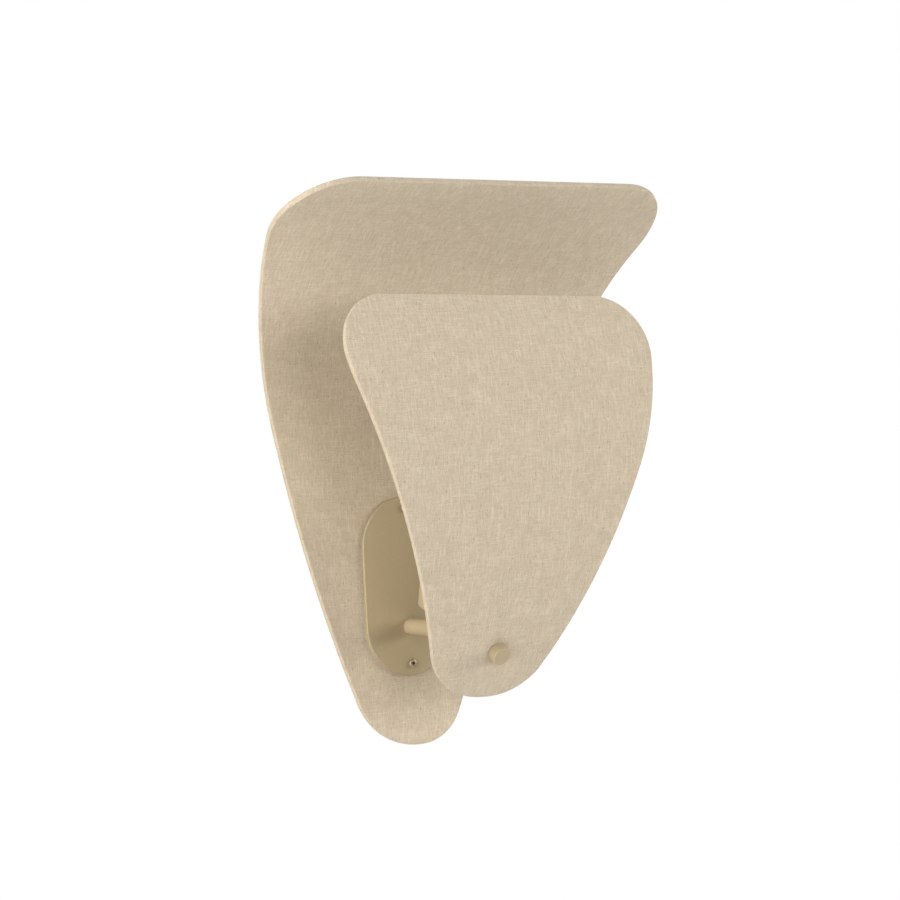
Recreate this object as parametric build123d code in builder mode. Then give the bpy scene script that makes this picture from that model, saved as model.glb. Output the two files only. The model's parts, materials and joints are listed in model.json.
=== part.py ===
from build123d import *
from math import cos, degrees, radians, sin, tan
import os

# Wall lamp with two cloth-covered bent plywood shells and one tilted lampholder between them.
# Millimetres. The wall is the plane y = 0, the room is towards -Y, up is +Z.
# The origin is on the wall face, level with the centre of the wall plate.
# "Out" is a distance from the wall, so a point that lies 20 out has y = -20.

# Clearances and covering
screw_gap = 0.3
thread_gap = 0.05
running_gap = 0.08
seat_gap = 0.1
glue_gap = 0.1
cloth = 0.8
hem_width = 14.0

# Back box on the wall
box_depth = 20.0
box_wall = 1.2
box_inset = 2.0
box_corner = 2.5

# Wall bracket inside the back box
bracket_width = 30.0
bracket_gap = 1.0
bracket_thickness = 2.0
cable_hole_radius = 11.0
wall_screw_spacing = 60.0
wall_screw_hole_radius = 2.6
boss_radius = 4.5
boss_height = 7.0

# Wall plate with its two screws
plate_width = 102.0
plate_height = 179.0
plate_thickness = 3.0
plate_edge = 0.8
plate_screw_inset = 11.7
plate_screw_radius = 2.0
plate_screw_length = 25.0
plate_screw_head_radius = 4.0
plate_screw_head_height = 2.4
recess_length = 4.6
recess_width = 1.1
recess_depth = 1.5
ferrule_wall = 1.0

# Rear shell: flat against the box, then bent forward above the lamp
rear_core = 4.2
rear_bend_start = 155.0
rear_bend_radius = 250.0
rear_bend_angle = 57.0
rear_lip = 42.3

# Outline of the flat rear blank. Leans are degrees from the upright, drops are down from the top corners.
rear_bottom = -160.2
rear_bottom_middle = 9.5
rear_bottom_left_radius = 76.0
rear_bottom_right_radius = 49.5
rear_left_lean = 20.8
rear_left_upper_lean = 12.4
rear_left_shoulder_drop = 429.3
rear_left_shoulder_share = 0.81
rear_right_lean = 24.1
rear_right_upper_lean = 19.1
rear_right_shoulder_drop = 194.3
rear_right_shoulder_share = 0.70
rear_top_left_radius = 67.1
rear_top_right_radius = 69.5
rear_top_slope = 7.2

# Front shell: one round bend, carried by the stud at the end of the arm
front_core = 3.8
front_radius = 405.0
stud_out = 173.0
stud_height = -58.7
stud_tilt = 30.0

# Outline of the flat front blank, with lengths measured up the sheet from the stud
front_bottom = -56.3
front_bottom_middle = 12.1
front_bottom_left_radius = 90.0
front_bottom_right_radius = 51.7
front_left_lean = 20.0
front_left_upper_lean = 12.0
front_left_shoulder_drop = 75.4
front_left_shoulder_share = 0.88
front_right_lean = 22.5
front_right_upper_lean = 6.3
front_right_shoulder_drop = 123.4
front_right_shoulder_share = 0.83
front_top = 354.5
front_top_left_radius = 50.1
front_top_right_radius = 59.0
front_top_slope = 9.3

# Shared by both blanks
bottom_flat = 4.0
sheet_margin = 40.0
outline_step = 24.0

# Arm between the wall plate and the front shell
arm_radius = 8.0
arm_wall = 1.2
arm_height = -40.8
arm_bend_radius = 26.0
nipple_radius = 5.0
nipple_bore = 3.6
nipple_length = 22.0
nipple_rear = 9.0
bush_length = 12.0
nut_radius = 8.0
nut_thickness = 3.0
washer_radius = 9.0
washer_thickness = 1.0
nut_clearance = 3.0
flange_radius = 13.0
flange_thickness = 3.0
flange_spigot = 8.0

# Stud, sleeve, washer and knob that hold the front shell
stud_radius = 3.0
stud_proud = 7.5
stud_chamfer = 0.75
sleeve_wall = 1.5
sleeve_collar_radius = 8.0
sleeve_collar = 0.8
knob_washer_radius = 8.2
knob_washer_thickness = 0.8
knob_radius = 9.6
knob_length = 9.5
knob_bevel = 1.2

# Lampholder on its saddle
holder_out = 73.7
holder_tilt = 15.0
saddle_radius = 9.0
cup_radius = 20.0
cup_wall = 1.0
cup_length = 55.0
cup_corner = 4.0
cup_start = 20.8
holder_base = 5.0
holder_wall = 3.0
holder_length = 46.0
contact_radius = 4.5
contact_height = 4.0
contact_flange = 1.0
contact_flange_radius = 8.0
shell_radius = 13.5
shell_wall = 0.5
shell_length = 26.0
shell_lift = 2.0

# Bulb with a 27 mm screw cap
bulb_cap_radius = 13.1
bulb_cap_length = 24.0
bulb_contact_radius = 4.4
bulb_contact_height = 2.4
bulb_contact_edge = 0.8
bulb_cap_taper = 3.2
bulb_radius = 30.0
bulb_length = 106.0
bulb_neck_radius = 12.2
bulb_wall = 1.0

# Terminal block, earth screw and wires inside the back box
block_width = 32.0
block_height = 16.0
block_depth = 13.0
block_centre = 54.0
block_pitch = 9.0
block_screw_radius = 1.6
block_screw_slot = 0.5
earth_screw_x = 9.0
earth_screw_height = -58.0
earth_screw_radius = 2.0
earth_head_radius = 3.8
earth_head_height = 2.2
tag_radius = 3.9
tag_thickness = 0.8
tag_barrel = 6.0
wire_radius = 0.9
wire_spread = 1.3
wire_out = 9.5
wire_bend = 5.0

# Worked-out places
rear_thickness = rear_core + 2 * cloth + 2 * glue_gap
rear_out = box_depth + rear_thickness
plate_out = rear_out + plate_thickness
rear_arc_length = rear_bend_radius * radians(rear_bend_angle)
rear_top = rear_bend_start + rear_arc_length + rear_lip
front_thickness = front_core + 2 * cloth + 2 * glue_gap
front_centre_out = stud_out - front_radius * cos(radians(stud_tilt))
front_centre_height = stud_height + front_radius * sin(radians(stud_tilt))
screw_half = plate_height / 2 - plate_screw_inset
bracket_length = plate_height - 2 * (box_inset + box_wall + bracket_gap)
nut_hole_radius = washer_radius + nut_clearance
arm_bore = arm_radius - arm_wall
cutter_depth = 2 * stud_out
stud_hole_depth = 3 * front_thickness

wall = Plane.XZ
screw_points = [(0, -screw_half), (0, screw_half)]
arm_plane = Plane(origin=(0, -plate_out, arm_height), x_dir=(1, 0, 0), z_dir=(0, -1, 0))
stud_direction = (0, -cos(radians(stud_tilt)), -sin(radians(stud_tilt)))
stud_plane = Plane(origin=(0, -stud_out, stud_height), x_dir=(1, 0, 0), z_dir=stud_direction)
holder_direction = (0, -sin(radians(holder_tilt)), cos(radians(holder_tilt)))
holder_plane = Plane(origin=(0, -holder_out, arm_height), x_dir=(1, 0, 0), z_dir=holder_direction)


def rear_level(length):
    """Height above the origin of a point that lies length up the rear sheet."""
    bent = length - rear_bend_start
    if bent <= 0:
        return length
    if bent <= rear_arc_length:
        return rear_bend_start + rear_bend_radius * sin(bent / rear_bend_radius)
    straight = (bent - rear_arc_length) * cos(radians(rear_bend_angle))
    return rear_bend_start + rear_bend_radius * sin(radians(rear_bend_angle)) + straight


def front_level(length):
    """Height above the origin of a point that lies length up the front sheet from the stud."""
    return front_centre_height + front_radius * sin(length / front_radius - radians(stud_tilt))


def blank_side(middle, side, bottom, top, drop, lean, upper_lean, bottom_radius):
    """Bottom corner, shoulder and top corner of one side of a blank, left for side -1."""
    bottom_x = middle + side * (bottom_flat / 2 + bottom_radius * tan(radians(90 - lean) / 2))
    shoulder_x = bottom_x + side * (top - drop - bottom) * tan(radians(lean))
    top_x = shoulder_x + side * drop * tan(radians(upper_lean))
    return [(bottom_x, bottom), (shoulder_x, top - drop), (top_x, top)]


def free_length(corner, radius, shoulder, opposite):
    """Straight left between a shoulder and the rounding of the corner at the end of its side."""
    side = Vector(*shoulder) - Vector(*corner)
    turn = 180 - side.get_angle(Vector(*opposite) - Vector(*corner))
    return side.length - radius * tan(radians(turn) / 2)


def shoulder_radius(corners, bottom_radius, top_radius, across, share):
    """Radius of a shoulder that takes a share of the shorter straight beside it."""
    bottom_corner, shoulder, top_corner = corners
    lower = free_length(bottom_corner, bottom_radius, shoulder, across[0])
    upper = free_length(top_corner, top_radius, shoulder, across[2])
    turn = (Vector(*shoulder) - Vector(*bottom_corner)).get_angle(Vector(*top_corner) - Vector(*shoulder))
    return share * min(lower, upper) / tan(radians(turn) / 2)


def cut_blank(corners, radii, inset):
    """Flat blank of a shell before it is bent: straight sides, each corner with its own radius."""
    with BuildSketch() as blank:
        with BuildLine():
            Polyline(*corners, close=True)
        make_face()
        for corner, radius in zip(corners, radii):
            vertex = blank.vertices().sort_by_distance((corner[0], corner[1], 0))[0]
            fillet(vertex, radius)
        if inset != 0:
            offset(amount=-inset)
    return blank.sketch


def bent_outline(blank, level):
    """Outline of the bent sheet seen from the front, pushed back to the wall as a cutter."""
    with BuildSketch(wall) as outline:
        with BuildLine():
            for edge in blank.wires()[0].edges():
                steps = max(4, round(edge.length / outline_step))
                points = [edge @ (i / steps) for i in range(steps + 1)]
                Spline(*[(point.X, level(point.Y)) for point in points])
        make_face()
    return extrude(outline.sketch, amount=cutter_depth, mode=Mode.PRIVATE)


def trim(sheet, cutter):
    """Faces of a bent sheet that lie inside the outline."""
    return [piece for face in sheet.faces() for piece in face.intersect(cutter)]


rear_left = blank_side(
    rear_bottom_middle,
    -1,
    rear_bottom,
    rear_top,
    rear_left_shoulder_drop,
    rear_left_lean,
    rear_left_upper_lean,
    rear_bottom_left_radius,
)
rear_right = blank_side(
    rear_bottom_middle,
    1,
    rear_bottom,
    rear_top - rear_top_slope,
    rear_right_shoulder_drop,
    rear_right_lean,
    rear_right_upper_lean,
    rear_bottom_right_radius,
)
rear_corners = rear_left + rear_right[::-1]
rear_radii = [
    rear_bottom_left_radius,
    shoulder_radius(
        rear_left, rear_bottom_left_radius, rear_top_left_radius, rear_right, rear_left_shoulder_share
    ),
    rear_top_left_radius,
    rear_top_right_radius,
    shoulder_radius(
        rear_right, rear_bottom_right_radius, rear_top_right_radius, rear_left, rear_right_shoulder_share
    ),
    rear_bottom_right_radius,
]

front_left = blank_side(
    front_bottom_middle,
    -1,
    front_bottom,
    front_top,
    front_left_shoulder_drop,
    front_left_lean,
    front_left_upper_lean,
    front_bottom_left_radius,
)
front_right = blank_side(
    front_bottom_middle,
    1,
    front_bottom,
    front_top - front_top_slope,
    front_right_shoulder_drop,
    front_right_lean,
    front_right_upper_lean,
    front_bottom_right_radius,
)
front_corners = front_left + front_right[::-1]
front_radii = [
    front_bottom_left_radius,
    shoulder_radius(
        front_left, front_bottom_left_radius, front_top_left_radius, front_right, front_left_shoulder_share
    ),
    front_top_left_radius,
    front_top_right_radius,
    shoulder_radius(
        front_right, front_bottom_right_radius, front_top_right_radius, front_left, front_right_shoulder_share
    ),
    front_bottom_right_radius,
]

# The bent sheets reach past the blanks on every side and are trimmed to them.
sheet_half = max(abs(corner[0]) for corner in rear_corners + front_corners) + sheet_margin

with BuildLine(Plane.YZ) as rear_profile:
    rear_flat = Line((-rear_out, rear_bottom - sheet_margin), (-rear_out, rear_bend_start))
    rear_arc = CenterArc(
        (-rear_out - rear_bend_radius, rear_bend_start), rear_bend_radius, 0, rear_bend_angle
    )
    PolarLine(rear_arc @ 1, rear_lip + sheet_margin, direction=rear_arc % 1)
rear_wire = rear_profile.wires()[0].moved(Location((-sheet_half, 0, 0)))
rear_sheet = Shell.extrude(rear_wire, (2 * sheet_half, 0, 0))

front_low = (front_bottom - sheet_margin) / front_radius
front_high = (front_top + sheet_margin) / front_radius
with BuildLine(Plane.YZ) as front_profile:
    CenterArc(
        (-front_centre_out, front_centre_height),
        front_radius,
        180 + stud_tilt - degrees(front_high),
        degrees(front_high - front_low),
    )
front_wire = front_profile.wires()[0].moved(Location((-sheet_half, 0, 0)))
front_sheet = Shell.extrude(front_wire, (2 * sheet_half, 0, 0))


def rear_faces(inset):
    return trim(rear_sheet, bent_outline(cut_blank(rear_corners, rear_radii, inset), rear_level))


def front_faces(inset):
    return trim(front_sheet, bent_outline(cut_blank(front_corners, front_radii, inset), front_level))


def slab(faces, wider_faces, start, end):
    """Layer of a shell between two depths behind its front face."""
    with BuildPart() as layer:
        thicken(faces, amount=end, normal_override=(0, 1, 0))
        if start > 0:
            thicken(wider_faces, amount=start, normal_override=(0, 1, 0), mode=Mode.SUBTRACT)
    return layer.part


# Depths behind the front face, and distances in from the edge of the blank
core_start = cloth + glue_gap
window_edge = core_start + hem_width
lining_edge = window_edge + screw_gap
rear_core_end = core_start + rear_core
rear_hem_start = rear_core_end + glue_gap
front_core_end = core_start + front_core
front_hem_start = front_core_end + glue_gap

# Layers of the rear shell
rear_full = rear_faces(0)
rear_skin = slab(rear_full, rear_full, 0, rear_thickness)
rear_pocket = slab(rear_faces(cloth), rear_full, cloth, rear_hem_start)
rear_window = slab(rear_faces(window_edge), rear_full, rear_core_end, rear_thickness + cloth)
rear_ply = slab(rear_faces(core_start), rear_full, core_start, rear_core_end)
rear_back = slab(rear_faces(lining_edge), rear_full, rear_hem_start, rear_thickness)

# Layers of the front shell
front_full = front_faces(0)
front_skin = slab(front_full, front_full, 0, front_thickness)
front_pocket = slab(front_faces(cloth), front_full, cloth, front_hem_start)
front_window = slab(front_faces(window_edge), front_full, front_core_end, front_thickness + cloth)
front_ply = slab(front_faces(core_start), front_full, core_start, front_core_end)
front_back = slab(front_faces(lining_edge), front_full, front_hem_start, front_thickness)


# Wall bracket: a steel strap with two threaded bosses for the plate screws
with BuildPart() as wall_bracket:
    with BuildSketch(wall):
        SlotOverall(bracket_length, bracket_width, rotation=90)
    extrude(amount=bracket_thickness)
    with BuildSketch(wall.offset(bracket_thickness)):
        with Locations(*screw_points):
            Circle(boss_radius)
    extrude(amount=boss_height)
    with BuildSketch(wall):
        with Locations(*screw_points):
            Circle(plate_screw_radius + thread_gap)
        Circle(cable_hole_radius)
        with Locations((0, -wall_screw_spacing / 2), (0, wall_screw_spacing / 2)):
            Circle(wall_screw_hole_radius)
        with Locations((earth_screw_x, earth_screw_height)):
            Circle(earth_screw_radius + thread_gap)
    extrude(amount=bracket_thickness + boss_height, mode=Mode.SUBTRACT)
wall_bracket.part.label = "wall_bracket"

# Back box: a shallow steel pan, open to the wall
with BuildPart() as back_box:
    with BuildSketch(wall):
        SlotOverall(plate_height - 2 * box_inset, plate_width - 2 * box_inset, rotation=90)
    extrude(amount=box_depth)
    fillet(back_box.faces().sort_by(Axis.Y)[0].edges(), box_corner)
    offset(amount=-box_wall, openings=back_box.faces().sort_by(Axis.Y)[-1])
    with BuildSketch(wall.offset(box_depth)):
        with Locations(*screw_points):
            Circle(plate_screw_radius + screw_gap)
        with Locations((0, arm_height)):
            Circle(nut_hole_radius)
    extrude(amount=-2 * box_wall, mode=Mode.SUBTRACT)
back_box.part.label = "back_box"

# Rear shell: bent plywood core
with BuildPart() as rear_panel_core:
    add(rear_ply)
    with BuildSketch(wall):
        with Locations(*screw_points):
            Circle(plate_screw_radius + screw_gap + ferrule_wall + screw_gap)
        with Locations((0, arm_height)):
            Circle(nut_hole_radius)
    extrude(amount=cutter_depth, mode=Mode.SUBTRACT)
rear_panel_core.part.label = "rear_panel_core"

# Rear shell: face cloth, folded round the edge and glued down as a hem at the back
with BuildPart() as rear_panel_cloth:
    add(rear_skin)
    add(rear_pocket, mode=Mode.SUBTRACT)
    add(rear_window, mode=Mode.SUBTRACT)
    with BuildSketch(wall):
        with Locations(*screw_points):
            Circle(plate_screw_radius + screw_gap + ferrule_wall + screw_gap)
        with Locations((0, arm_height)):
            Circle(nut_hole_radius)
    extrude(amount=cutter_depth, mode=Mode.SUBTRACT)
rear_panel_cloth.part.label = "rear_panel_cloth"

# Rear shell: lining that fills the space inside the hem
with BuildPart() as rear_panel_lining:
    add(rear_back)
    with BuildSketch(wall):
        with Locations(*screw_points):
            Circle(plate_screw_radius + screw_gap + ferrule_wall + screw_gap)
        with Locations((0, arm_height)):
            Circle(nut_hole_radius)
    extrude(amount=cutter_depth, mode=Mode.SUBTRACT)
rear_panel_lining.part.label = "rear_panel_lining"

# Ferrules that keep the plate screws from crushing the rear shell
with BuildPart() as panel_ferrules:
    with BuildSketch(wall.offset(box_depth)):
        with Locations(*screw_points):
            Circle(plate_screw_radius + screw_gap + ferrule_wall)
            Circle(plate_screw_radius + screw_gap, mode=Mode.SUBTRACT)
    extrude(amount=rear_thickness)
panel_ferrules.part.label = "panel_ferrules"

# Wall plate
with BuildPart() as wall_plate:
    with BuildSketch(wall.offset(rear_out)):
        SlotOverall(plate_height, plate_width, rotation=90)
    extrude(amount=plate_thickness)
    fillet(wall_plate.faces().sort_by(Axis.Y)[0].edges(), plate_edge)
    with BuildSketch(wall.offset(plate_out)):
        with Locations(*screw_points):
            Circle(plate_screw_radius + screw_gap)
        with Locations((0, arm_height)):
            Circle(nipple_radius + thread_gap)
    extrude(amount=-plate_thickness, mode=Mode.SUBTRACT)
wall_plate.part.label = "wall_plate"

# Plate screws with a cross recess
with BuildPart() as plate_screws:
    with BuildSketch(wall.offset(plate_out)):
        with Locations(*screw_points):
            Circle(plate_screw_radius)
    extrude(amount=-plate_screw_length)
    with BuildSketch(wall.offset(plate_out)):
        with Locations(*screw_points):
            Circle(plate_screw_head_radius)
    extrude(amount=plate_screw_head_height)
    fillet(plate_screws.faces().group_by(Axis.Y)[0].edges(), plate_screw_head_height / 2)
    with BuildSketch(wall.offset(plate_out + plate_screw_head_height)):
        with Locations(*screw_points):
            Rectangle(recess_length, recess_width)
            Rectangle(recess_width, recess_length)
    extrude(amount=-recess_depth, mode=Mode.SUBTRACT)
plate_screws.part.label = "plate_screws"

# Arm: one tube, straight from the plate, then bent down square to the front shell
flange_back = front_thickness + glue_gap + sleeve_collar + seat_gap + flange_thickness
arm_corner_out = stud_out - (arm_height - stud_height) / tan(radians(stud_tilt))
arm_end = (
    0,
    -(stud_out - flange_back * cos(radians(stud_tilt))),
    stud_height + flange_back * sin(radians(stud_tilt)),
)
with BuildPart() as arm_tube:
    with BuildLine() as arm_line:
        FilletPolyline(
            (0, -plate_out, arm_height), (0, -arm_corner_out, arm_height), arm_end, radius=arm_bend_radius
        )
    with BuildSketch(arm_plane):
        Circle(arm_radius)
        Circle(arm_bore, mode=Mode.SUBTRACT)
    sweep(path=arm_line.line)
    with BuildSketch(holder_plane):
        Circle(nipple_radius)
    extrude(amount=2 * arm_radius, mode=Mode.SUBTRACT)
arm_tube.part.label = "arm_tube"

# Threaded bush brazed into the wall end of the arm
with BuildPart() as arm_bush:
    with BuildSketch(arm_plane):
        Circle(arm_bore - thread_gap)
        Circle(nipple_radius + thread_gap, mode=Mode.SUBTRACT)
    extrude(amount=bush_length)
arm_bush.part.label = "arm_bush"

# Hollow threaded nipple, washer and nut that pull the arm against the plate
with BuildPart() as arm_nipple:
    with BuildSketch(arm_plane.offset(-nipple_rear)):
        Circle(nipple_radius)
        Circle(nipple_bore, mode=Mode.SUBTRACT)
    extrude(amount=nipple_length)
arm_nipple.part.label = "arm_nipple"

with BuildPart() as arm_washer:
    with BuildSketch(arm_plane.offset(-plate_thickness)):
        Circle(washer_radius)
        Circle(nipple_radius + thread_gap, mode=Mode.SUBTRACT)
    extrude(amount=-washer_thickness)
arm_washer.part.label = "arm_washer"

with BuildPart() as arm_nut:
    with BuildSketch(arm_plane.offset(-plate_thickness - washer_thickness)):
        RegularPolygon(nut_radius, 6)
        Circle(nipple_radius + thread_gap, mode=Mode.SUBTRACT)
    extrude(amount=-nut_thickness)
arm_nut.part.label = "arm_nut"

# Flange with a spigot, brazed into the room end of the arm
with BuildPart() as arm_flange:
    with BuildSketch(stud_plane.offset(-flange_back)):
        Circle(flange_radius)
    extrude(amount=flange_thickness)
    fillet(arm_flange.faces().sort_by(Axis.Y)[-1].edges(), plate_edge)
    with BuildSketch(stud_plane.offset(-flange_back)):
        Circle(arm_bore - thread_gap)
    extrude(amount=-flange_spigot)
    with BuildSketch(stud_plane):
        Circle(stud_radius + thread_gap)
    extrude(amount=-(flange_back + flange_spigot), mode=Mode.SUBTRACT)
arm_flange.part.label = "arm_flange"

# Threaded stud
with BuildPart() as panel_stud:
    with BuildSketch(stud_plane.offset(stud_proud)):
        Circle(stud_radius)
    extrude(amount=-(stud_proud + flange_back + flange_spigot))
    chamfer(panel_stud.edges().sort_by(Axis.Y)[0], stud_chamfer)
panel_stud.part.label = "panel_stud"

# Front shell: bent plywood core
sleeve_radius = stud_radius + running_gap + sleeve_wall
with BuildPart() as front_panel_core:
    add(front_ply)
    with BuildSketch(stud_plane.offset(front_thickness)):
        Circle(sleeve_radius + thread_gap)
    extrude(amount=-stud_hole_depth, mode=Mode.SUBTRACT)
front_panel_core.part.label = "front_panel_core"

# Front shell: face cloth with its hem
with BuildPart() as front_panel_cloth:
    add(front_skin)
    add(front_pocket, mode=Mode.SUBTRACT)
    add(front_window, mode=Mode.SUBTRACT)
    with BuildSketch(stud_plane.offset(front_thickness)):
        Circle(sleeve_radius + thread_gap)
    extrude(amount=-stud_hole_depth, mode=Mode.SUBTRACT)
front_panel_cloth.part.label = "front_panel_cloth"

# Front shell: lining inside the hem
with BuildPart() as front_panel_lining:
    add(front_back)
    with BuildSketch(stud_plane.offset(front_thickness)):
        Circle(sleeve_radius + thread_gap)
    extrude(amount=-stud_hole_depth, mode=Mode.SUBTRACT)
front_panel_lining.part.label = "front_panel_lining"

# Collared sleeve in the front shell, which turns on the stud
with BuildPart() as panel_sleeve:
    with BuildSketch(stud_plane):
        Circle(sleeve_radius)
    extrude(amount=-(front_thickness + glue_gap))
    with BuildSketch(stud_plane.offset(-front_thickness - glue_gap)):
        Circle(sleeve_collar_radius)
    extrude(amount=-sleeve_collar)
    with BuildSketch(stud_plane):
        Circle(stud_radius + running_gap)
    extrude(amount=-(front_thickness + glue_gap + sleeve_collar), mode=Mode.SUBTRACT)
panel_sleeve.part.label = "panel_sleeve"

# Washer that stays under the knob
with BuildPart() as knob_washer:
    with BuildSketch(stud_plane.offset(seat_gap)):
        Circle(knob_washer_radius)
        Circle(stud_radius + running_gap, mode=Mode.SUBTRACT)
    extrude(amount=knob_washer_thickness)
knob_washer.part.label = "knob_washer"

# Round knob with a blind thread
knob_start = seat_gap + knob_washer_thickness
with BuildPart() as knob:
    with BuildSketch(stud_plane.offset(knob_start)):
        Circle(knob_radius)
    extrude(amount=knob_length)
    fillet(knob.edges().sort_by(Axis((0, 0, 0), stud_direction))[-1], knob_bevel)
    with BuildSketch(stud_plane.offset(knob_start)):
        Circle(stud_radius + running_gap)
    extrude(amount=stud_proud, mode=Mode.SUBTRACT)
knob.part.label = "knob"

# Saddle between the arm and the cup, scooped to fit the tube
with BuildPart() as holder_saddle:
    with BuildSketch(holder_plane):
        Circle(saddle_radius)
    extrude(amount=cup_start)
    with BuildSketch(arm_plane):
        Circle(arm_radius + thread_gap)
    extrude(amount=2 * holder_out, mode=Mode.SUBTRACT)
    with BuildSketch(holder_plane):
        Circle(nipple_radius + thread_gap)
    extrude(amount=cup_start, mode=Mode.SUBTRACT)
holder_saddle.part.label = "holder_saddle"

# Lampholder cup: a spun metal cover, open at the top
with BuildPart() as lampholder_cup:
    with BuildSketch(holder_plane.offset(cup_start)):
        Circle(cup_radius)
    extrude(amount=cup_length)
    cup_faces = lampholder_cup.faces().sort_by(Axis((0, 0, 0), holder_direction))
    fillet(cup_faces[0].edges(), cup_corner)
    cup_faces = lampholder_cup.faces().sort_by(Axis((0, 0, 0), holder_direction))
    offset(amount=-cup_wall, openings=cup_faces[-1])
    with BuildSketch(holder_plane.offset(cup_start)):
        Circle(nipple_radius + thread_gap)
    extrude(amount=2 * cup_wall, mode=Mode.SUBTRACT)
lampholder_cup.part.label = "lampholder_cup"

# Insulating body of the lampholder
base_start = cup_start + cup_wall
base_end = base_start + holder_base
body_radius = shell_radius + shell_wall + glue_gap + holder_wall
with BuildPart() as lampholder_body:
    with BuildSketch(holder_plane.offset(base_start)):
        Circle(body_radius)
    extrude(amount=holder_length)
    body_edges = lampholder_body.edges().sort_by(Axis((0, 0, 0), holder_direction))
    chamfer(body_edges[0], cup_corner)
    with BuildSketch(holder_plane.offset(base_end)):
        Circle(shell_radius + shell_wall + glue_gap)
    extrude(amount=holder_length, mode=Mode.SUBTRACT)
    with BuildSketch(holder_plane.offset(base_start)):
        Circle(nipple_radius + thread_gap)
    extrude(amount=holder_base, mode=Mode.SUBTRACT)
lampholder_body.part.label = "lampholder_body"

# Nipple that joins saddle, cup and lampholder body
with BuildPart() as holder_nipple:
    with BuildSketch(holder_plane.offset(arm_radius + thread_gap)):
        Circle(nipple_radius)
        Circle(nipple_bore, mode=Mode.SUBTRACT)
    extrude(amount=base_end - arm_radius - thread_gap)
holder_nipple.part.label = "holder_nipple"

# Centre contact on the floor of the lampholder
with BuildPart() as lampholder_contact:
    with BuildSketch(holder_plane.offset(base_end)):
        Circle(contact_flange_radius)
    extrude(amount=contact_flange)
    with BuildSketch(holder_plane.offset(base_end)):
        Circle(contact_radius)
    extrude(amount=contact_height)
lampholder_contact.part.label = "lampholder_contact"

# Screw shell of the lampholder
shell_start = base_end + shell_lift
with BuildPart() as lampholder_shell:
    with BuildSketch(holder_plane.offset(shell_start)):
        Circle(shell_radius + shell_wall)
        Circle(shell_radius, mode=Mode.SUBTRACT)
    extrude(amount=shell_length)
lampholder_shell.part.label = "lampholder_shell"

# Bulb: centre contact, screw cap and glass
bulb_start = base_end + contact_height + seat_gap
cap_start = bulb_start + bulb_contact_height + seat_gap
cap_end = cap_start + bulb_cap_length
bulb_end = bulb_start + bulb_length
bulb_middle = bulb_end - bulb_radius
with BuildPart() as bulb_contact:
    with BuildSketch(holder_plane.offset(bulb_start)):
        Circle(bulb_contact_radius)
    extrude(amount=bulb_contact_height)
    contact_edges = bulb_contact.edges().sort_by(Axis((0, 0, 0), holder_direction))
    fillet(contact_edges[0], bulb_contact_edge)
bulb_contact.part.label = "bulb_contact"

with BuildPart() as bulb_cap:
    with BuildSketch(holder_plane.offset(cap_start)):
        Circle(bulb_cap_radius)
    extrude(amount=bulb_cap_length)
    cap_edges = bulb_cap.edges().sort_by(Axis((0, 0, 0), holder_direction))
    chamfer(cap_edges[0], bulb_cap_taper)
    with BuildSketch(holder_plane.offset(cap_start + bulb_cap_taper)):
        Circle(bulb_neck_radius + glue_gap)
    extrude(amount=bulb_cap_length, mode=Mode.SUBTRACT)
bulb_cap.part.label = "bulb_cap"

glass_start = cap_start + bulb_cap_length / 2
holder_section = Plane(origin=holder_plane.origin, x_dir=(1, 0, 0), z_dir=-holder_plane.y_dir)


def glass_outline(inset):
    """Half outline of the bulb glass in the plane of its axis."""
    neck = bulb_neck_radius - inset
    round_radius = bulb_radius - inset
    with BuildSketch(holder_section) as outline:
        with BuildLine():
            stem = Line((0, glass_start), (neck, glass_start))
            side = Line(stem @ 1, (neck, cap_end))
            ball = CenterArc((0, bulb_middle), round_radius, 0, 90)
            Spline(side @ 1, ball @ 0, tangents=[(0, 1), (0, 1)])
            Line(ball @ 1, stem @ 0)
        make_face()
    return outline.sketch


with BuildPart() as bulb_glass:
    revolve(glass_outline(0), axis=Axis(holder_plane.origin, holder_direction))
    revolve(glass_outline(bulb_wall), axis=Axis(holder_plane.origin, holder_direction), mode=Mode.SUBTRACT)
bulb_glass.part.label = "bulb_glass"

# Terminal block on the wall bracket, with one wire way and two clamp screws for each pole
block_plane = wall.offset(bracket_thickness)
block_top = block_plane.offset(block_depth)
pole_columns = [-block_pitch, 0, block_pitch]
clamp_rows = [block_centre - block_height / 4, block_centre + block_height / 4]
clamp_points = [(column, row) for column in pole_columns for row in clamp_rows]
with BuildPart() as terminal_block:
    with BuildSketch(block_plane):
        with Locations((0, block_centre)):
            RectangleRounded(block_width, block_height, block_screw_radius)
    extrude(amount=block_depth)
    with BuildSketch(Plane.XY.offset(block_centre - block_height / 2)):
        with Locations(*[(column, -wire_out) for column in pole_columns]):
            Circle(wire_radius + screw_gap)
    extrude(amount=block_height, mode=Mode.SUBTRACT)
    with BuildSketch(block_top):
        with Locations(*clamp_points):
            Circle(block_screw_radius + thread_gap)
    extrude(amount=-(bracket_thickness + block_depth - wire_out), mode=Mode.SUBTRACT)
terminal_block.part.label = "terminal_block"

clamp_length = bracket_thickness + block_depth - wire_out - wire_radius - screw_gap
with BuildPart() as terminal_screws:
    with BuildSketch(wall.offset(wire_out + wire_radius + screw_gap)):
        with Locations(*clamp_points):
            Circle(block_screw_radius)
    extrude(amount=clamp_length)
    with BuildSketch(block_top):
        with Locations(*clamp_points):
            Rectangle(2 * block_screw_radius, block_screw_slot)
    extrude(amount=-block_screw_slot, mode=Mode.SUBTRACT)
terminal_screws.part.label = "terminal_screws"

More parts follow.
